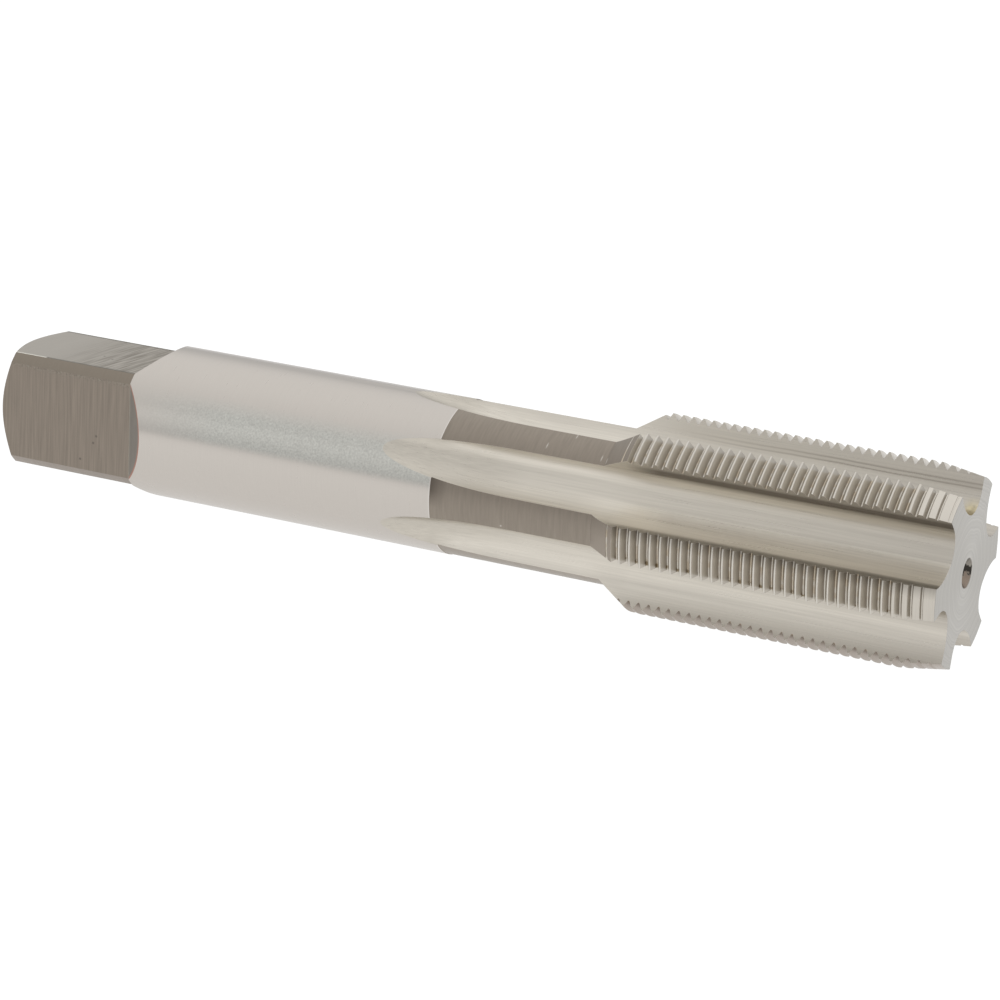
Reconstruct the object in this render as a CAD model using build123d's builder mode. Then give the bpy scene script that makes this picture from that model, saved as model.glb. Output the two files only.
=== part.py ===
from build123d import *
from math import acos, cos, degrees, radians, sin, sqrt, tan
import os

# A six-flute plug hand tap for an M28 x 1.5 right-hand thread, lying along X.
# The origin is the centre of the drive end and +X runs to the cutting end.
# Angles about the axis are counted from +Y towards +Z. A land's middle lies at 0,
# so the tap stands on two lands with a flute straight below the axis.

# Lengths along the axis
overall_length = 147.2
square_length = 22.3
thread_length = 45.5
neck_length = 24.4
lead_length = 6.3

# Diameters of the turned and ground blank
shank_diameter = 22.4
drive_end_diameter = 22.06
neck_diameter = 22.05
nose_diameter = 26.1

# Thread: vee grooves that leave a narrow flat crest between them. The crest nearest the
# end face lies this far from it on the first land; in front of it the lead is smooth.
thread_diameter = 28.15
thread_pitch = 1.5
thread_angle = 60
crest_width = 0.19
first_crest = 1.75

# Turned tapers
back_taper_angle = 33
drive_face_diameter = 15.2
drive_chamfer_angle = 30
edge_break = 0.12

# Drive square, each flat leaving the shank by a plane slope
square_across_flats = 16.8
square_turn = -3.4
square_slope_angle = 40

# Flutes, ground by a wheel that lifts out through the shank
flute_count = 6
core_diameter = 16.4
land_width = 5.02
rake_angle = 9
cutting_face_radius = 40
flute_root_radius = 3.4
flute_root_sweep = 94
flute_wheel_diameter = 180
flute_full_length = 60.0

# Centre holes of the grinding machine, one in each end
centre_angle = 60
centre_mouth_diameter = 4.2
centre_pilot_diameter = 2.0
centre_depth = 4.8

# How far a cutter reaches past the metal
clear = 2.0

# Stations along the axis
thread_back = overall_length - thread_length
back_taper_length = (thread_diameter - neck_diameter) / 2 / tan(radians(back_taper_angle))
neck_front = thread_back - back_taper_length
shoulder = neck_front - neck_length
drive_chamfer_length = (
    (drive_end_diameter - drive_face_diameter) / 2 * tan(radians(drive_chamfer_angle))
)
full_flute_end = overall_length - flute_full_length

# Radii and angles that follow
thread_radius = thread_diameter / 2
thread_depth = (thread_pitch - crest_width) / 2 / tan(radians(thread_angle / 2))
core_radius = core_diameter / 2
wheel_radius = flute_wheel_diameter / 2
land_angle = degrees(land_width / thread_radius)
half_flute = (360 / flute_count - land_angle) / 2


# The flute's section in a sketch whose x points out through the middle of the flute and
# whose y points counter-clockwise. The slightly hollow cutting face leans back by the rake,
# turns through the small root arc and leaves by a larger arc to the heel of the next land.
def flute_section(plane):
    face_lean = radians(half_flute - rake_angle)
    inward = Vector(-cos(face_lean), sin(face_lean))
    across = Vector(sin(face_lean), cos(face_lean))
    edge = Vector(cos(radians(half_flute)), -sin(radians(half_flute))) * thread_radius
    heel = Vector(edge.X, -edge.Y)
    face_centre = edge + across * cutting_face_radius
    centres_apart = cutting_face_radius - flute_root_radius
    root_x = core_radius + flute_root_radius
    root_centre = Vector(root_x, face_centre.Y - sqrt(centres_apart**2 - (face_centre.X - root_x) ** 2))
    foot = face_centre + (root_centre - face_centre) * (cutting_face_radius / centres_apart)
    with BuildSketch(plane) as section:
        with BuildLine():
            front_lip = Line(edge - inward * clear, edge)
            face = TangentArc(edge, foot, tangent=inward)
            root = JernArc(face @ 1, face % 1, flute_root_radius, -flute_root_sweep)
            back = TangentArc(root @ 1, heel, tangent=root % 1)
            back_lip = Line(back @ 1, back @ 1 + (back % 1) * clear)
            Line(back_lip @ 1, front_lip @ 0)
        make_face()
    return section.sketch


with BuildPart() as tap:
    # Turned blank: half its outline spun about the axis
    with BuildSketch(Plane.XY):
        with BuildLine():
            Polyline(
                (0, 0),
                (0, drive_face_diameter / 2),
                (drive_chamfer_length, drive_end_diameter / 2),
                (square_length, drive_end_diameter / 2),
                (square_length + edge_break, shank_diameter / 2),
                (shoulder - edge_break, shank_diameter / 2),
                (shoulder, neck_diameter / 2),
                (neck_front, neck_diameter / 2),
                (thread_back, thread_radius),
                (overall_length - lead_length, thread_radius),
                (overall_length, nose_diameter / 2),
                (overall_length, 0),
                close=True,
            )
        make_face()
    revolve(axis=Axis.X)

    # Drive square: four flats, each sloping up to the shank's surface at its inner end
    flat_height = square_across_flats / 2
    flat_top = shank_diameter / 2 + clear
    slope_end = square_length + (flat_top - flat_height) / tan(radians(square_slope_angle))
    for side in range(4):
        with BuildSketch(Plane.XZ.rotated((square_turn + 90 * side, 0, 0))):
            with BuildLine():
                Polyline(
                    (-clear, flat_height),
                    (square_length, flat_height),
                    (slope_end, flat_top),
                    (-clear, flat_top),
                    close=True,
                )
            make_face()
        extrude(amount=shank_diameter, both=True, mode=Mode.SUBTRACT)

    # Flutes: straight over the thread and the neck, then rising on the wheel's arc until
    # the wheel leaves the shank
    exit_height = shank_diameter / 2 + clear - core_radius
    exit_angle = degrees(acos(1 - exit_height / wheel_radius))
    for flute in range(flute_count):
        middle = (flute + 0.5) * 360 / flute_count
        nose_plane = Plane.YZ.offset(overall_length + clear).rotated((middle, 0, 0))
        straight = flute_section(nose_plane)
        extrude(straight, amount=-(flute_full_length + clear), mode=Mode.SUBTRACT)
        exit_plane = Plane.YZ.offset(full_flute_end).rotated((middle, 0, 0))
        run_out = flute_section(exit_plane)
        wheel_centre = exit_plane.from_local_coords(Vector(core_radius + wheel_radius, 0, 0))
        wheel_axis = Axis(wheel_centre, exit_plane.y_dir)
        revolve(run_out, axis=wheel_axis, revolution_arc=-exit_angle, mode=Mode.SUBTRACT)

    # Thread: on each land a row of grooves, a sixth of a pitch further on than on the land
    # before, as the helix brings them. The lead cone has already cut the front crests short.
    groove_reach = 0.15
    groove_height = thread_depth + groove_reach
    groove_side = groove_height * tan(radians(thread_angle / 2))
    root_radius = thread_radius - thread_depth
    first_root = first_crest + thread_pitch / 2
    last_root = thread_length + thread_depth / tan(radians(back_taper_angle))
    groove_count = int((last_root - first_root) / thread_pitch + 1) + 1
    groove_arc = 2 * land_angle
    for land in range(flute_count):
        front = overall_length - first_root + thread_pitch * land / flute_count
        roots = [(front - thread_pitch * turn, root_radius) for turn in range(groove_count)]
        start_angle = land * 360 / flute_count - groove_arc / 2
        with BuildSketch(Plane.XY.rotated((start_angle, 0, 0))):
            with Locations(*roots):
                Polygon(
                    (0, 0), (groove_side, groove_height), (-groove_side, groove_height), align=None
                )
        revolve(axis=Axis.X, revolution_arc=groove_arc, mode=Mode.SUBTRACT)

    # Centre holes: a pilot and a cone in each end
    drive_face = Plane((0, 0, 0), x_dir=(0, 1, 0), z_dir=(-1, 0, 0))
    nose_face = Plane((overall_length, 0, 0), x_dir=(0, 1, 0), z_dir=(1, 0, 0))
    for end_face in (drive_face, nose_face):
        with Locations(end_face):
            CounterSinkHole(
                centre_pilot_diameter / 2, centre_mouth_diameter / 2, centre_depth, centre_angle
            )

tap.part.label = "tap"

os.makedirs("parts", exist_ok=True)
export_step(tap.part, "parts/tap.step")
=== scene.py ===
from math import acos, cos, pi, radians, sin, sqrt, tan

import bmesh
import bpy
from mathutils import Matrix, Vector


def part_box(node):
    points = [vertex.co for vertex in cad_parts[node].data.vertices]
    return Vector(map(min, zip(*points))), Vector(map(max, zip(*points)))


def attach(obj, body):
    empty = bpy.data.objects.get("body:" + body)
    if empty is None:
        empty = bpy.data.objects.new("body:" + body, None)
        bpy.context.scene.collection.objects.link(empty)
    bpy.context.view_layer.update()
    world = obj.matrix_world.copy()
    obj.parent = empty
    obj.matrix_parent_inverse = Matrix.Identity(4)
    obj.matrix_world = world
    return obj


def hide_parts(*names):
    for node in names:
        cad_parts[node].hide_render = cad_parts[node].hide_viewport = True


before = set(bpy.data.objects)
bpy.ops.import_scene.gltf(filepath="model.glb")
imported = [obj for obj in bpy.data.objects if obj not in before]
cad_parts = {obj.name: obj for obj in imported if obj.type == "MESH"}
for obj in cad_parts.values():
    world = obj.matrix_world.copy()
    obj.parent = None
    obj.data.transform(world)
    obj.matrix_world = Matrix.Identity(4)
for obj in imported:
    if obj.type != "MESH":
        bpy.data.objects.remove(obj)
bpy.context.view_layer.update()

# A hand tap of ground high-speed steel, lying along X with its drive square at the origin.
# Angles about its axis are counted from +Y towards +Z. Its sizes are in millimetres.
# The photograph shows the lands at 60, 120, 180 and 240 degrees, called the first to the fourth
# here, and the first to the third flute between them.
MM = 0.001
low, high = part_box("tap")
overall_length = (high.x - low.x) / MM
thread_radius = (high.y - low.y) / MM / 2

# Turned and ground blank
shank_radius = 11.2
drive_end_radius = 11.03
neck_radius = 11.1
nose_radius = 13.05
square_length = 22.3
thread_length = 45.5
neck_length = 24.4
lead_length = 6.3
back_taper_angle = radians(33)
drive_face_radius = 7.6
drive_chamfer_angle = radians(30)
edge_break = 0.12
rim_break = 0.05

# Thread
thread_pitch = 1.5
thread_half_angle = radians(30)
crest_width = 0.19
thread_depth = 0.99
first_crest = 1.75

# Drive square
flat_height = 8.4
square_turn = radians(-3.4)
square_slope = radians(40)
square_corner = 0.5

# Flutes
flute_count = 6
core_radius = 8.2
land_width = 5.02
rake_angle = radians(4)
cutting_face_radius = 40.0
flute_root_radius = 3.4
flute_root_sweep = radians(94)
wheel_radius = 90.0
flute_full_length = 61.4
core_rise = 0.4

# Centre holes
centre_mouth_radius = 2.1
centre_pilot_radius = 1.0
centre_half_angle = radians(30)
centre_depth = 4.8
drill_point_angle = radians(31)

# How far a cutter reaches past the metal
clear = 2.0

# Facets of a full turn, of the arcs in a flute's section, of its run-out and of the square's
# corner round
turn_steps = 288
face_steps = 6
root_steps = 16
back_steps = 18
run_out_steps = 40
corner_steps = 6

# Edges sharper than this stay crisp, and the shading rounds them by this much
crease_angle = radians(20)
edge_round = 0.06

# Stations along the axis
root_radius = thread_radius - thread_depth
thread_back = overall_length - thread_length
neck_front = thread_back - (thread_radius - neck_radius) / tan(back_taper_angle)
shoulder = neck_front - neck_length
drive_chamfer_length = (drive_end_radius - drive_face_radius) * tan(drive_chamfer_angle)
full_flute_end = overall_length - flute_full_length
half_land = land_width / thread_radius / 2
half_flute = pi / flute_count - half_land

AXIS = Vector((1, 0, 0))
CENTRE = Vector((0, 0, 0))


def colour(hex_value):
    """Linear colour of an sRGB hex value."""
    parts = [int(hex_value[i:i + 2], 16) / 255 for i in (0, 2, 4)]
    linear = [p / 12.92 if p <= 0.04045 else ((p + 0.055) / 1.055) ** 2.4 for p in parts]
    return (*linear, 1)


def add_node(tree, kind, inputs, **settings):
    """Adds a node, sets it up and feeds its inputs, by name or number, with constants or links."""
    node = tree.nodes.new("ShaderNode" + kind)
    for name, value in settings.items():
        setattr(node, name, value)
    for key, value in inputs.items():
        if isinstance(value, bpy.types.NodeSocket):
            tree.links.new(value, node.inputs[key])
        else:
            node.inputs[key].default_value = value
    return node.outputs


def new_finish(name):
    """A material, its nodes, and the place on the tap in millimetres."""
    material = bpy.data.materials.new(name)
    material.use_nodes = True
    tree = material.node_tree
    metres = add_node(tree, "TexCoord", {})["Object"]
    place = add_node(tree, "VectorMath", {0: metres, "Scale": 1 / MM}, operation="SCALE")[0]
    return material, tree, place


def about_axis(tree, place):
    """The way straight out from the axis, its length, the degrees round the axis, and the degrees
    from the middle of the nearest land towards its cutting edge."""
    outward = add_node(tree, "VectorMath", {0: place, 1: (0, 1, 1)}, operation="MULTIPLY")[0]
    radius = add_node(tree, "VectorMath", {0: outward}, operation="LENGTH")["Value"]
    axes = add_node(tree, "SeparateXYZ", {0: place})
    turn = add_node(tree, "Math", {0: axes["Z"], 1: axes["Y"]}, operation="ARCTAN2")[0]
    turn = add_node(tree, "Math", {0: turn, 1: 180 / pi}, operation="MULTIPLY")[0]
    turn = add_node(tree, "Math", {0: turn, 1: 360, 2: 0}, operation="WRAP")[0]
    half_share = 180 / flute_count
    from_land = add_node(tree, "Math", {0: turn, 1: half_share, 2: -half_share}, operation="WRAP")[0]
    return outward, radius, turn, from_land


def grain(tree, place, per_mm, detail=3):
    """A pattern about 0.5, with so many grains to a millimetre along each axis."""
    spread = add_node(tree, "VectorMath", {0: place, 1: per_mm}, operation="MULTIPLY")[0]
    return add_node(tree, "TexNoise", {"Vector": spread, "Scale": 1, "Detail": detail})["Fac"]


def spots(tree, place, radius, *centres, squeeze=(1, 1, 1)):
    """A mask of small spots about the centres. A squeeze under 1 draws them out along its axis."""
    squeezed = add_node(tree, "VectorMath", {0: place, 1: squeeze}, operation="MULTIPLY")[0]
    share = 0
    for centre in centres:
        aim = [along * factor for along, factor in zip(centre, squeeze)]
        away = add_node(tree, "VectorMath", {0: squeezed, 1: aim}, operation="DISTANCE")["Value"]
        spot = add_node(tree, "MapRange", {0: away, 1: radius, 2: radius / 3})[0]
        share = add_node(tree, "Math", {0: share, 1: spot}, operation="MAXIMUM")[0]
    return share


def shaded(tree, tint, pattern, dark, light):
    """A colour made darker and lighter by a pattern about 0.5 or by a mask."""
    shade = add_node(tree, "MapRange", {0: pattern, 1: 0.25, 2: 0.75, 3: dark, 4: light})[0]
    return add_node(tree, "VectorMath", {0: tint, "Scale": shade}, operation="SCALE")[0]


def layered(tree, tint, second, strength, *fades):
    """A second colour laid over the first, as strongly as every fade (value, from, to) lets it."""
    for value, start, full in fades:
        share = add_node(tree, "MapRange", {0: value, 1: start, 2: full})[0]
        strength = add_node(tree, "Math", {0: share, 1: strength}, operation="MULTIPLY")[0]
    return add_node(tree, "Mix", {0: strength, 6: tint, 7: second}, data_type="RGBA")[2]


def join_metal(material, tint, pattern, smooth, rough, depth, stretch, across=None):
    """Joins the metal shader. The pattern gives the roughness and a fine height in millimetres.
    Highlights are drawn out across the tool's lines: along the axis where nothing else is given."""
    tree = material.node_tree
    shader = tree.nodes["Principled BSDF"]
    roughness = add_node(tree, "MapRange", {0: pattern, 1: 0.25, 2: 0.75, 3: smooth, 4: rough})[0]
    rounded = add_node(tree, "Bevel", {"Radius": edge_round * MM}, samples=4)[0]
    relief = {"Distance": depth * MM, "Height": pattern, "Normal": rounded}
    bumped = add_node(tree, "Bump", relief)[0]
    if across is None:
        across = add_node(tree, "CombineXYZ", {"X": 1})[0]
    shader.inputs["Metallic"].default_value = 1
    shader.inputs["Anisotropic"].default_value = stretch
    tree.links.new(tint, shader.inputs["Base Color"])
    tree.links.new(roughness, shader.inputs["Roughness"])
    tree.links.new(bumped, shader.inputs["Normal"])
    tree.links.new(across, shader.inputs["Tangent"])
    return material


def ground_shank_finish():
    """Cylindrically ground: bright, with soft bands. Along one strip a frosty grain has its mottle
    painted as light and shade, and a painted highlight brightens the rim at the shoulder."""
    material, tree, place = new_finish("ground_shank")
    _, _, turn, _ = about_axis(tree, place)
    x = add_node(tree, "SeparateXYZ", {0: place})["X"]
    rings = grain(tree, place, (6, 0.3, 0.3))
    frost = grain(tree, place, (3.6, 3.6, 3.6), 2)
    frost_and_sheen_strip = (turn, 134, 146), (turn, 171, 166), (x, 22, 38)
    rim_painted_highlight = (x, shoulder - 0.35, shoulder - 0.2)

    tint = shaded(tree, colour("c9c3bc")[:3], rings, 0.98, 1.02)
    frost_and_sheen = shaded(tree, colour("c3c4be")[:3], frost, 0.8, 1.2)
    # A real frosty grain along one strip, its mottle painted as light and shade where it shows in the
    # reflection
    tint = layered(tree, tint, frost_and_sheen, 0.75, *frost_and_sheen_strip)
    # Painted highlight along the rim at the shoulder
    tint = layered(tree, tint, colour("d8d3cd"), 1, rim_painted_highlight)
    return join_metal(material, tint, rings, smooth=0.27, rough=0.33, depth=0.0005, stretch=0.75)


def turned_finish():
    """Turned and then hardened: the grey-brown skin of the furnace stays on the fine feed lines, with
    painted shade along one side and by the shoulder step. Handling has left a few bright nicks."""
    material, tree, place = new_finish("hardened_turning")
    _, _, turn, _ = about_axis(tree, place)
    x = add_node(tree, "SeparateXYZ", {0: place})["X"]
    feed_lines = grain(tree, place, (3.2, 0.3, 0.3), 4)
    on_neck = (x, square_length, shoulder)
    on_taper = (x, neck_front - 0.5, neck_front + 0.3), (turn, 165, 180)
    at_square = (x, square_length + 1, square_length)
    at_shoulder = (x, shoulder + 2.5, shoulder)
    darker_side = (turn, 105, 135), (turn, 195, 165)
    third_land = (turn, 158, 163), (turn, 184, 172)
    fourth_land = (turn, 205, 225)
    lower_side = (turn, 200, 210)

    tint = shaded(tree, colour("988f84")[:3], feed_lines, 0.88, 1.12)
    # Painted shade darkens one side of the neck
    tint = layered(tree, tint, colour("7a7167"), 0.45, *darker_side, on_neck)
    tint = layered(tree, tint, colour("857c70"), 0.7, at_square)
    # Painted shade by the shoulder step on the third land
    tint = layered(tree, tint, colour("5f574f"), 0.8, at_shoulder, *third_land)
    tint = layered(tree, tint, colour("aea59a"), 0.6, fourth_land, on_neck)
    tint = layered(tree, tint, colour("a89e93"), 0.5, *on_taper)
    tint = layered(tree, tint, colour("a79e96"), 0.8, at_square, lower_side)

    # The nicks are short strokes across the neck, and one dent lower down is round
    nick_places = (91.4, -3.5, 10.5), (96.4, -6.3, 9.1), (97.3, -6.6, 8.9), (88.0, -5.9, 9.3)
    nicks = spots(tree, place, 0.2, *nick_places, squeeze=(1.7, 0.3, 0.3))
    dent = spots(tree, place, 0.2, (83.6, -10.9, -1.6))
    tint = layered(tree, tint, colour("f0ece4"), 0.4, (nicks, 0, 1))
    tint = layered(tree, tint, colour("f0ece4"), 0.6, (dent, 0, 1))
    return join_metal(material, tint, feed_lines, smooth=0.36, rough=0.46, depth=0.002, stretch=0.5)


def milled_finish():
    """Milled across and hardened. The cutter's lines cross each flat; on the top flat, which painted
    light makes paler, they deepen into furrows towards the shank. Burrs roughen the flats' long edges."""
    material, tree, place = new_finish("hardened_milling")
    _, radius, _, _ = about_axis(tree, place)
    axes = add_node(tree, "SeparateXYZ", {0: place})
    x = axes["X"]
    y = axes["Y"]
    z = axes["Z"]
    facing = add_node(tree, "SeparateXYZ", {0: add_node(tree, "TexCoord", {})["Normal"]})
    up = facing["Z"]

    # The cutter's lines lean a little off square
    lean_per_mm = -0.16
    leaned_x = add_node(tree, "Math", {0: y, 1: lean_per_mm, 2: x}, operation="MULTIPLY_ADD")[0]
    leaned = add_node(tree, "CombineXYZ", {"X": leaned_x, "Y": y, "Z": z})[0]
    lines = grain(tree, leaned, (3.4, 0.12, 0.12), 4)
    furrows = grain(tree, leaned, (4, 0.18, 0.18), 1)
    ragged = grain(tree, place, (3, 3, 3), 2)

    tint = shaded(tree, colour("968c81")[:3], lines, 0.8, 1.2)
    greyer = (x, 6, 20)
    furrowed = (x, 8, 17)
    top_flat = (up, 0.5, 0.9)
    # Painted light makes the top flat paler, fading greyer towards the shank; its furrows are the
    # cutter's
    top_flat_light_and_furrows = layered(tree, colour("b9b4ac"), colour("a7a198"), 1, greyer)
    top_flat_light_and_furrows = shaded(tree, top_flat_light_and_furrows, lines, 0.95, 1.05)
    top_flat_light_and_furrows = layered(tree, top_flat_light_and_furrows, colour("7f796f"), 0.6, (furrows, 0.5, 0.62), furrowed)
    top_flat_light_and_furrows = layered(tree, top_flat_light_and_furrows, colour("c8c3ba"), 0.5, (furrows, 0.46, 0.38), furrowed)
    tint = layered(tree, tint, top_flat_light_and_furrows, 1, top_flat)

    # Ragged burrs along the side flats' upper edges, and a painted glint along a rolled burr beside the
    # top flat
    side_flats = (up, 0.7, 0.4), (z, 0, 1)
    bright_burrs = (radius, 10.65, 10.9), (ragged, 0.52, 0.64)
    dark_burrs = (radius, 10.5, 10.9), (ragged, 0.48, 0.36)
    top_edges = (radius, 10.68, 10.88), (up, 0.4, 0.7)
    painted_glint = (radius, 10.72, 10.9), (up, 0.4, 0.7), (y, 1, -1), (x, 7.3, 7.0)
    tint = layered(tree, tint, colour("a2a497"), 0.4, *bright_burrs, *side_flats)
    tint = layered(tree, tint, colour("6f6b62"), 0.4, *dark_burrs, *side_flats)
    tint = layered(tree, tint, colour("6b675d"), 0.75, *top_edges)
    tint = layered(tree, tint, colour("f6f3ea"), 0.9, *painted_glint)

    top_pits = (13.7, -1.0, 8.45), (15.6, -1.9, 8.5)
    side_pits = (16.7, -8.5, -1.2), (16.2, -8.5, -2.3), (14.0, -8.7, -5.1)
    pits = spots(tree, place, 0.26, *top_pits, *side_pits)
    tint = layered(tree, tint, colour("5a5650"), 0.6, (pits, 0, 1))

    # A greyer slope, a painted highlight along the corner round where each flat ends, and reddish scale
    # along the shank's border
    past_square = (x, square_length, square_length + 0.3)
    line_start = (x, square_length - 0.1, square_length + 0.05)
    line_end = (x, square_length + 0.35, square_length + 0.2)
    tint = layered(tree, tint, colour("9b9893"), 0.7, past_square, (up, 0.8, 0.5))
    tint = layered(tree, tint, colour("b1ada2"), 0.6, line_start, line_end)
    tint = layered(tree, tint, colour("c9917f"), 0.7, (radius, 10.85, 11.0), past_square)
    return join_metal(material, tint, lines, smooth=0.5, rough=0.6, depth=0.004, stretch=0.3)


def flute_finish():
    """Ground lengthwise by the flute wheel, which leaves long fine streaks. Painted light brightens
    the flutes through the neck and on the broad backs, and painted shade darkens them beside the heels
    and on the second land's cutting face. The first land's cutting face has two dark lines."""
    material, tree, place = new_finish("ground_flute")
    _, radius, turn, from_land = about_axis(tree, place)
    x = add_node(tree, "SeparateXYZ", {0: place})["X"]
    streaks = grain(tree, place, (0.06, 5, 5), 4)
    broad = grain(tree, place, (0.05, 2.2, 2.2), 2)
    on_thread = (x, thread_back - 4, thread_back)
    on_neck = (x, shoulder - 1, shoulder + 3), (x, thread_back - 1, thread_back - 7)

    # Painted light brightens the flutes through the neck, and they are duller towards the end face
    behind_thread = (x, thread_back + 12, thread_back - 4)
    at_full_depth = (x, full_flute_end - 5.8, full_flute_end + 0.2)
    to_end_face = (x, thread_back + 20, overall_length)
    second_edge = (turn, 128, 131), (turn, 137, 133)
    first_flute = (turn, 108, 101)
    third_flute = (turn, 213, 221)
    tint = layered(tree, colour("c9c3b8"), colour("d2ccc1"), 1, behind_thread, at_full_depth)
    tint = layered(tree, tint, colour("c0bab0"), 1, to_end_face)
    tint = layered(tree, tint, colour("ded8cd"), 1, *second_edge, *on_neck)
    tint = layered(tree, tint, colour("d7d1c6"), 1, first_flute, *on_neck)
    tint = layered(tree, tint, colour("dcd6cb"), 1, third_flute, *on_neck)

    # Painted reflection brightens the broad backs, and painted shade darkens them again beside each heel
    second_back = (from_land, -10.8, -11.8), (turn, 140, 150), (turn, 171, 170)
    past_taper = (x, thread_back - 8, thread_back + 4)
    thread_start = (x, thread_back - 2, thread_back + 4), (x, overall_length + 30, thread_back + 5)
    third_back = (from_land, -24, -18), (from_land, -11, -13), (turn, 205, 210)
    upper_heels = (from_land, -11.4, -10.5), (from_land, 0, -5), (turn, 200, 190)
    fourth_heel = (radius, 12, 13.5), (turn, 205, 215), (turn, 235, 232)
    tint = layered(tree, tint, colour("e4ded2"), 1, (from_land, -28.5, -25), *second_back, past_taper)
    tint = layered(tree, tint, colour("f8f2e6"), 1, (from_land, -27.5, -22), *second_back, *thread_start)
    tint = layered(tree, tint, colour("dcd6cb"), 0.6, *third_back, on_thread)
    tint = layered(tree, tint, colour("6f6a62"), 0.55, *upper_heels, on_thread)
    tint = layered(tree, tint, colour("8f8a82"), 0.25, *fourth_heel, on_thread)

    # Yellow oil has dried in lumps in one root by the end face
    oily_root = (turn, 102, 97), (turn, 70, 76), (radius, 10.6, 9.8)
    by_end_face = (x, overall_length - 2, overall_length - 1)
    oil = shaded(tree, colour("c9bd9c")[:3], grain(tree, place, (1.6, 1.6, 1.6), 2), 0.7, 1.2)
    tint = layered(tree, tint, oil, 0.9, by_end_face, *oily_root)

    # Painted shade: a dark band on the second land's cutting face
    second_face = (turn, 126, 128), (turn, 134, 132), (from_land, 7, 8)
    face_shade_span = (x, thread_back - 1, thread_back + 4)
    dark_band = (radius, 11.1, 11.5), (radius, 13.0, 12.4)
    tint = layered(tree, tint, colour("8b857e"), 0.5, (radius, 10.4, 11.2), *second_face, face_shade_span)
    tint = layered(tree, tint, colour("5f574f"), 0.7, *dark_band, *second_face, face_shade_span)

    # The two dark lines wander a little
    first_face = (turn, 60, 67), (turn, 76, 72), (x, thread_back + 2, thread_back + 24)
    sway = 0.3
    swaying = grain(tree, place, (0.1, 0.1, 0.1))
    wander = add_node(tree, "Math", {0: swaying, 1: sway, 2: radius}, operation="MULTIPLY_ADD")[0]
    for line_radius in (12.05, 11.5):
        below = (wander, line_radius - 0.16, line_radius - 0.04)
        above = (wander, line_radius + 0.16, line_radius + 0.04)
        tint = layered(tree, tint, colour("6d6259"), 0.36, below, above, *first_face)

    tint = shaded(tree, tint, streaks, 0.92, 1.08)
    tint = shaded(tree, tint, broad, 0.96, 1.04)
    surface = add_node(tree, "TexCoord", {})["Normal"]
    across = add_node(tree, "VectorMath", {0: (1, 0, 0), 1: surface}, operation="CROSS_PRODUCT")[0]
    return join_metal(material, tint, streaks, smooth=0.26, rough=0.34, depth=0.0005, stretch=0.6,
                      across=across)


def thread_finish():
    """Ground by the thread wheel: bright crests, painted shade on the flanks, on the lands that face
    the table and by the third land's heel, and painted light on the upper lead. A little brown oil has
    dried in the roots, most of it by the cutting edges."""
    material, tree, place = new_finish("ground_thread")
    _, radius, turn, from_land = about_axis(tree, place)
    x = add_node(tree, "SeparateXYZ", {0: place})["X"]
    rings = grain(tree, place, (7, 0.3, 0.3))
    patches = grain(tree, place, (0.9, 0.9, 0.9), 2)
    facing = add_node(tree, "SeparateXYZ", {0: add_node(tree, "TexCoord", {})["Normal"]})["X"]
    slope = add_node(tree, "Math", {0: facing}, operation="ABSOLUTE")[0]

    flanks = (radius, 13.8, 13.2), (slope, 0.3, 0.5)
    crests = (radius, thread_radius - 0.08, thread_radius - 0.03)
    lower_lands = (turn, 205, 225)
    third_heel = (from_land, -3, -10), (turn, 160, 165), (turn, 190, 180)
    upper_lead = (x, overall_length - 7.5, overall_length - 5.5), (turn, 155, 145), (slope, 0.5, 0.3)
    tint = shaded(tree, colour("c9c3b9")[:3], rings, 0.94, 1.06)
    # Painted shade darkens the flanks, the lower lands and the third land's heel; painted light
    # brightens the upper lead
    tint = layered(tree, tint, colour("8f8980"), 0.3, *flanks)
    tint = layered(tree, tint, colour("d3cec5"), 1, crests)
    tint = layered(tree, tint, colour("a3978c"), 0.8, lower_lands)
    tint = layered(tree, tint, colour("7d776e"), 0.45, *third_heel)
    tint = layered(tree, tint, colour("d3cdc3"), 1, *upper_lead)

    behind_lead = (x, overall_length - lead_length + 2, overall_length - lead_length)
    oily_roots = (radius, root_radius + 0.12, root_radius + 0.03), (patches, 0.45, 0.6)
    by_edges = (radius, root_radius + 0.3, root_radius + 0.15), (from_land, 7.2, 8), (turn, 165, 175)
    tint = layered(tree, tint, colour("a8916a"), 0.4, *oily_roots, behind_lead)
    tint = layered(tree, tint, colour("73603f"), 0.7, *by_edges, (patches, 0.5, 0.56), behind_lead)
    return join_metal(material, tint, rings, smooth=0.28, rough=0.36, depth=0.0005, stretch=0.4)


def faced_finish():
    """Faced on the lathe, with fine uneven rings round the axis."""
    material, tree, place = new_finish("faced_end")
    outward, radius, _, _ = about_axis(tree, place)
    ring_drift = 1.2
    drift = grain(tree, place, (0.25, 0.25, 0.25), 1)
    drifted = add_node(tree, "Math", {0: drift, 1: ring_drift, 2: radius}, operation="MULTIPLY_ADD")[0]
    rings = grain(tree, add_node(tree, "CombineXYZ", {"X": drifted})[0], (2.8, 1, 1), 4)
    tint = shaded(tree, colour("adaaa4")[:3], rings, 0.86, 1.14)
    return join_metal(material, tint, rings, smooth=0.36, rough=0.28, depth=0.004, stretch=0.4,
                      across=outward)


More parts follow.
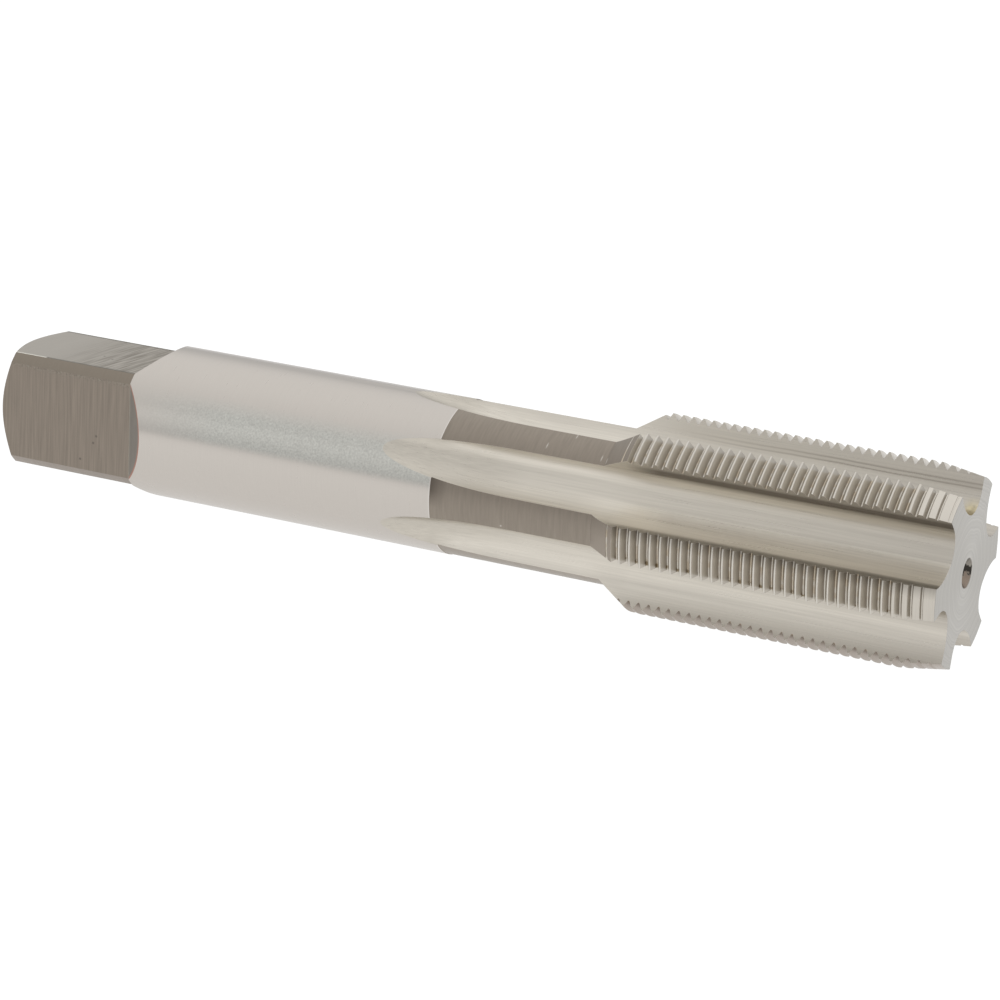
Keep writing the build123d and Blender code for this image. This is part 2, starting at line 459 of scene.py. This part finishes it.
def drilled_finish():
    """Drilled and countersunk: a painted dark reflection in the middle of the wall, brown below, bare
    at the rim.
    """
    material, tree, place = new_finish("drilled_hole")
    z = add_node(tree, "SeparateXYZ", {0: place})["Z"]
    marks = grain(tree, place, (2.2, 2.2, 1.2))
    ragged_z = add_node(tree, "Math", {0: marks, 1: 2, 2: z}, operation="MULTIPLY_ADD")[0]
    tint = shaded(tree, colour("8c877f")[:3], marks, 0.7, 1.3)
    tint = layered(tree, tint, colour("8d7d70"), 0.8, (ragged_z, 0.4, 0.1))
    # Painted reflection: the dark middle of the wall
    tint = layered(tree, tint, colour("302d29"), 0.95, (ragged_z, 0.2, 0.35), (ragged_z, 1.7, 1.5))
    return join_metal(material, tint, marks, smooth=0.25, rough=0.4, depth=0.02, stretch=0)


ground_shank = ground_shank_finish()
hardened_turning = turned_finish()
hardened_milling = milled_finish()
ground_flute = flute_finish()
ground_thread = thread_finish()
faced_end = faced_finish()
drilled_hole = drilled_finish()
BLANK_FINISHES = [ground_shank, hardened_turning, ground_thread, faced_end, drilled_hole]


def add_outline(bm, points):
    """A chain of edges in the plane Z = 0 through the points (x, radius)."""
    verts = [bm.verts.new((x, r, 0)) for x, r in points]
    edges = [bm.edges.new(pair) for pair in zip(verts, verts[1:])]
    return verts + edges


def tidy_shell(bm, gap=1e-4):
    """Closes seams and poles and turns every face outwards."""
    bmesh.ops.remove_doubles(bm, verts=bm.verts, dist=gap)
    open_edges = [e for e in bm.edges if e.is_boundary]
    if open_edges:
        bmesh.ops.holes_fill(bm, edges=open_edges, sides=0)
    bmesh.ops.recalc_face_normals(bm, faces=bm.faces)


def make_object(bm, name, *finishes):
    """An object at the origin, with its finishes."""
    mesh = bpy.data.meshes.new(name)
    bm.to_mesh(mesh)
    bm.free()
    for finish in finishes:
        mesh.materials.append(finish)
    made = bpy.data.objects.new(name, mesh)
    bpy.context.scene.collection.objects.link(made)
    return made


def finish_of_blank(face):
    """The number of a blank face's finish, by its place along the axis and off it."""
    middle = face.calc_center_median()
    off_axis = middle.yz.length
    end_distance = min(middle.x, overall_length - middle.x)
    if off_axis < centre_mouth_radius and end_distance < centre_depth * 2:
        return BLANK_FINISHES.index(drilled_hole)
    if end_distance < rim_break:
        return BLANK_FINISHES.index(faced_end)
    if middle.x > thread_back:
        return BLANK_FINISHES.index(ground_thread)
    if square_length < middle.x < shoulder - edge_break:
        return BLANK_FINISHES.index(ground_shank)
    return BLANK_FINISHES.index(hardened_turning)


def turned_blank():
    """The bar as it leaves the lathe, with its centre holes, tapers and lead cone."""
    cone_length = (centre_mouth_radius - centre_pilot_radius) / tan(centre_half_angle)
    point_length = centre_pilot_radius / tan(pi / 2 - drill_point_angle)
    lead_slope = 0.2
    drive_hole = [
        (centre_depth + point_length, 0),
        (centre_depth, centre_pilot_radius),
        (cone_length, centre_pilot_radius),
        (rim_break, centre_mouth_radius - rim_break * tan(centre_half_angle)),
        (0, centre_mouth_radius + rim_break),
    ]
    nose_hole = [(overall_length - x, r) for x, r in reversed(drive_hole)]
    bar = [
        (0, drive_face_radius - rim_break),
        (rim_break, drive_face_radius + rim_break),
        (drive_chamfer_length, drive_end_radius),
        (square_length, drive_end_radius),
        (square_length + edge_break, shank_radius),
        (shoulder - edge_break, shank_radius),
        (shoulder, neck_radius),
        (neck_front, neck_radius),
        (thread_back, thread_radius),
        (overall_length - lead_length, thread_radius),
        (overall_length - rim_break, nose_radius + rim_break * lead_slope),
        (overall_length, nose_radius - rim_break),
    ]
    bm = bmesh.new()
    outline = add_outline(bm, drive_hole + bar + nose_hole)
    bmesh.ops.spin(bm, geom=outline, cent=CENTRE, axis=AXIS, dvec=CENTRE, angle=2 * pi,
                   steps=turn_steps, use_merge=True)
    tidy_shell(bm)
    for face in bm.faces:
        face.material_index = finish_of_blank(face)
    return make_object(bm, "tap_body", *BLANK_FINISHES)


def thread_cutter():
    """A sleeve whose bore is the right-hand helical thread, with full vees at the crests. It starts
    a few pitches in front of the end face."""
    pitches_ahead = 3
    apex = thread_radius + crest_width / 2 / tan(thread_half_angle)
    half_root = thread_pitch / 2 - crest_width / 2 - thread_depth * tan(thread_half_angle)
    front = overall_length - first_crest + pitches_ahead * thread_pitch
    turns = int((front - neck_front) / thread_pitch) + 1
    crests = [front - turn * thread_pitch for turn in range(turns, -1, -1)]
    bore = [(crests[0], apex)]
    for crest in crests[1:]:
        bore.append((crest - thread_pitch / 2 - half_root, root_radius))
        bore.append((crest - thread_pitch / 2 + half_root, root_radius))
        bore.append((crest, apex))
    sleeve = [(crest, thread_radius + clear) for crest in crests]
    bm = bmesh.new()
    outline = add_outline(bm, bore + sleeve[::-1] + bore[:1])
    lead = Vector((thread_pitch / turn_steps, 0, 0))
    bmesh.ops.spin(bm, geom=outline, cent=CENTRE, axis=AXIS, dvec=lead, angle=2 * pi,
                   steps=turn_steps, use_merge=False)
    tidy_shell(bm)
    return make_object(bm, "thread_cutter", ground_thread)


def arc(bm, vert, centre, sweep, steps):
    """Draws an arc from a vertex about a centre in the plane across the axis, and returns its end."""
    done = bmesh.ops.spin(bm, geom=[vert], cent=centre, axis=AXIS, dvec=CENTRE, angle=sweep,
                          steps=steps, use_merge=False)
    return done["geom_last"][0]


def flute_section(bm, x):
    """The wheel's section across the axis: raked face, root arc and back arc up to the next heel."""
    lean = half_flute - rake_angle
    inward = Vector((0, -cos(lean), sin(lean)))
    across = Vector((0, sin(lean), cos(lean)))
    station = Vector((x, 0, 0))
    edge = station + Vector((0, cos(half_flute), -sin(half_flute))) * thread_radius
    heel = station + Vector((0, cos(half_flute), sin(half_flute))) * thread_radius
    face_centre = edge + across * cutting_face_radius
    centres_apart = cutting_face_radius - flute_root_radius
    root_y = core_radius + flute_root_radius
    root_z = face_centre.z - sqrt(centres_apart**2 - (face_centre.y - root_y) ** 2)
    root_centre = Vector((x, root_y, root_z))
    foot_way = (root_centre - face_centre).normalized()
    face_sweep = (edge - face_centre).angle(foot_way)

    lip = bm.verts.new(edge - inward * clear)
    start = bm.verts.new(edge)
    bm.edges.new((lip, start))
    foot = arc(bm, start, face_centre, -face_sweep, face_steps)
    root_end = arc(bm, foot, root_centre, -flute_root_sweep, root_steps)
    turned = Matrix.Rotation(-flute_root_sweep, 3, AXIS) @ foot_way
    root_end_place = root_centre + turned * flute_root_radius
    chord = heel - root_end_place
    back_radius = chord.length_squared / (2 * chord.dot(-turned))
    back_centre = root_end_place - turned * back_radius
    back_sweep = (root_end_place - back_centre).angle(heel - back_centre)
    back_end = arc(bm, root_end, back_centre, -back_sweep, back_steps)
    leave = AXIS.cross(heel - back_centre).normalized() * -clear
    far_lip = bm.verts.new(heel + leave)
    bm.edges.new((back_end, far_lip))
    bm.edges.new((far_lip, lip))
    return list(bm.verts) + list(bm.edges)


def flute_cutters():
    """Six wheels' paths: along the thread and neck, then up through the shank."""
    bm = bmesh.new()
    section = flute_section(bm, full_flute_end)
    section_edges = [g for g in section if isinstance(g, bmesh.types.BMEdge)]
    bmesh.ops.translate(bm, verts=bm.verts, vec=(0, core_rise, 0))
    rise_end = core_radius + core_rise
    wheel_centre = Vector((full_flute_end, rise_end + wheel_radius, 0))
    lift = acos(1 - (shank_radius + clear - rise_end) / wheel_radius)
    reach = Vector((flute_full_length + clear, -core_rise, 0))
    ahead = bmesh.ops.extrude_edge_only(bm, edges=section_edges)
    moved = [g for g in ahead["geom"] if isinstance(g, bmesh.types.BMVert)]
    bmesh.ops.translate(bm, verts=moved, vec=reach)
    bmesh.ops.spin(bm, geom=section, cent=wheel_centre, axis=Vector((0, 0, 1)), dvec=CENTRE,
                   angle=-lift, steps=run_out_steps, use_merge=False)
    tidy_shell(bm)
    to_first_flute = Matrix.Rotation(pi / flute_count, 3, AXIS)
    bmesh.ops.rotate(bm, verts=bm.verts, cent=CENTRE, matrix=to_first_flute)
    bmesh.ops.spin(bm, geom=bm.verts[:] + bm.edges[:] + bm.faces[:], cent=CENTRE, axis=AXIS,
                   dvec=CENTRE, angle=2 * pi - 2 * pi / flute_count, steps=flute_count - 1,
                   use_duplicate=True)
    return make_object(bm, "flute_cutters", ground_flute)


def square_cutters(first_side):
    """Two opposite cutters of the drive square: a flat, a small corner round and a slope."""
    bm = bmesh.new()
    top = shank_radius + clear
    half_width = shank_radius * 1.2
    round_run = square_corner * tan(square_slope / 2)
    slope_end = square_length + (top - flat_height) / tan(square_slope)
    near = bm.verts.new((-clear, 0, flat_height))
    corner = bm.verts.new((square_length - round_run, 0, flat_height))
    bm.edges.new((near, corner))
    pivot = Vector((square_length - round_run, 0, flat_height + square_corner))
    done = bmesh.ops.spin(bm, geom=[corner], cent=pivot, axis=Vector((0, -1, 0)), dvec=CENTRE,
                          angle=square_slope, steps=corner_steps, use_merge=False)
    far = bm.verts.new((slope_end, 0, top))
    back = bm.verts.new((-clear, 0, top))
    bm.edges.new((done["geom_last"][0], far))
    bm.edges.new((far, back))
    bm.edges.new((back, near))
    bmesh.ops.translate(bm, verts=bm.verts, vec=(0, -half_width, 0))
    grown = bmesh.ops.extrude_edge_only(bm, edges=bm.edges)
    moved = [g for g in grown["geom"] if isinstance(g, bmesh.types.BMVert)]
    bmesh.ops.translate(bm, verts=moved, vec=(0, half_width * 2, 0))
    tidy_shell(bm)
    turn = square_turn + first_side * pi / 2
    bmesh.ops.rotate(bm, verts=bm.verts, cent=CENTRE, matrix=Matrix.Rotation(turn, 3, AXIS))
    bmesh.ops.spin(bm, geom=bm.verts[:] + bm.edges[:] + bm.faces[:], cent=CENTRE, axis=AXIS,
                   dvec=CENTRE, angle=pi, steps=1, use_duplicate=True)
    return make_object(bm, "square_cutters", hardened_milling)


def cut(body, tool):
    """Cuts the body with the tool, keeps the result as its mesh and removes the tool."""
    change = body.modifiers.new(tool.name, "BOOLEAN")
    change.operation = "DIFFERENCE"
    change.solver = "MANIFOLD"
    change.material_mode = "TRANSFER"
    change.object = tool
    bpy.context.view_layer.update()
    shown = body.evaluated_get(bpy.context.evaluated_depsgraph_get())
    result = bpy.data.meshes.new_from_object(shown)
    body.modifiers.remove(change)
    body.data = result
    bpy.data.objects.remove(tool)


def make_tap():
    """Made in millimetres and brought to metres at the end."""
    body = turned_blank()
    cut(body, flute_cutters())
    cut(body, square_cutters(0))
    cut(body, square_cutters(1))
    cut(body, thread_cutter())
    body.data.transform(Matrix.Scale(MM, 4))
    body.data.shade_smooth()
    body.data.set_sharp_from_angle(angle=crease_angle)
    return body


tap = make_tap()
tap.name = "ground_tap"
tap.data.name = "ground_tap"
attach(tap, "root")
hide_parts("tap")


# Camera of the photograph
camera_data = bpy.data.cameras.new("camera")
camera = bpy.data.objects.new("camera", camera_data)
bpy.context.scene.collection.objects.link(camera)
camera_place = Vector((272.37, -411.47, 171.47)) * MM
camera_target = Vector((78.64, -0.89, -2.1)) * MM
camera_roll = radians(1.432)
camera_data.lens = 124.1
camera_data.sensor_width = 36
camera_data.clip_start = 0.01
camera_data.clip_end = 20
look = (camera_target - camera_place).to_track_quat("-Z", "Y").to_matrix().to_4x4()
camera.matrix_world = Matrix.Translation(camera_place) @ look @ Matrix.Rotation(camera_roll, 4, "Z")
bpy.context.scene.camera = camera


def glow_share(tree, for_camera, for_metal):
    """How much of a surface's look is its own glow: for the camera's rays, and for those that
    metal or glass reflects or lets through. Light scattered from surface to surface gets none."""
    rays = add_node(tree, "LightPath", {})
    mirrored = {0: rays["Is Glossy Ray"], 1: rays["Is Transmission Ray"]}
    onward = add_node(tree, "Math", mirrored, operation="MAXIMUM")[0]
    onward = add_node(tree, "Math", {0: onward, 1: for_metal}, operation="MULTIPLY")[0]
    seen = {0: rays["Is Camera Ray"], 1: for_camera, 2: onward}
    return add_node(tree, "Math", seen, operation="MULTIPLY_ADD")[0]


# White table under the lowest lands, in metres. It ends in front of the tap, as the photograph's
# did: the ground shank shows that edge as the dark line along its middle.
table_front = -0.3
table_depth = 3.0
table_bm = bmesh.new()
bmesh.ops.create_grid(table_bm, x_segments=1, y_segments=1, size=table_depth / 2)
bmesh.ops.translate(table_bm, verts=table_bm.verts, vec=(0, table_front + table_depth / 2, low.z))
table_paint = bpy.data.materials.new("white_table")
table_paint.use_nodes = True
paint = table_paint.node_tree
paint_shader = paint.nodes["Principled BSDF"]
paint_shader.inputs["Base Color"].default_value = colour("ececec")
paint_shader.inputs["Roughness"].default_value = 0.9
glow = add_node(paint, "Emission", {"Strength": 1.1})[0]
share = glow_share(paint, for_camera=0.92, for_metal=0.78)
painted = add_node(paint, "MixShader", {0: share, 1: paint_shader.outputs[0], 2: glow})[0]
paint.links.new(painted, paint.nodes["Material Output"].inputs["Surface"])
make_object(table_bm, "white_table", table_paint)

# A tent of white cloth round the table: its brightness by the angle in degrees from straight
# back, up over the tap and down to the camera's side
TENT = ((-180, 0.70), (-90, 0.9), (0, 0.62), (16, 0.62), (28, 0.80), (40, 0.97), (52, 1.0), (84, 0.99),
        (100, 0.955), (116, 0.90), (132, 0.83), (140, 0.83), (151, 0.91), (158, 0.90), (166, 0.83),
        (174, 0.74), (180, 0.68))
world = bpy.data.worlds.new("light_tent")
bpy.context.scene.world = world
world.use_nodes = True
sky = world.node_tree
axes = add_node(sky, "SeparateXYZ", {0: add_node(sky, "TexCoord", {})["Generated"]})
angle = add_node(sky, "Math", {0: axes["Z"], 1: axes["Y"]}, operation="ARCTAN2")[0]
round_share = add_node(sky, "MapRange", {0: angle, 1: -pi, 2: pi})[0]
cloth = add_node(sky, "ValToRGB", {0: round_share})[0]
ramp = cloth.node.color_ramp.elements
for degrees_round, _ in TENT[1:-1]:
    ramp.new((degrees_round + 180) / 360)
for stop, (degrees_round, brightness) in zip(ramp, TENT):
    stop.position = (degrees_round + 180) / 360
    stop.color = (brightness, brightness, brightness, 1)

# The camera itself sees plain white behind the table
white = (1, 1, 1, 1)
from_camera = add_node(sky, "LightPath", {})["Is Camera Ray"]
backdrop = add_node(sky, "Mix", {0: from_camera, 6: cloth, 7: white}, data_type="RGBA")[2]
sky.links.new(backdrop, sky.nodes["Background"].inputs["Color"])

bpy.context.scene.view_settings.view_transform = "Standard"
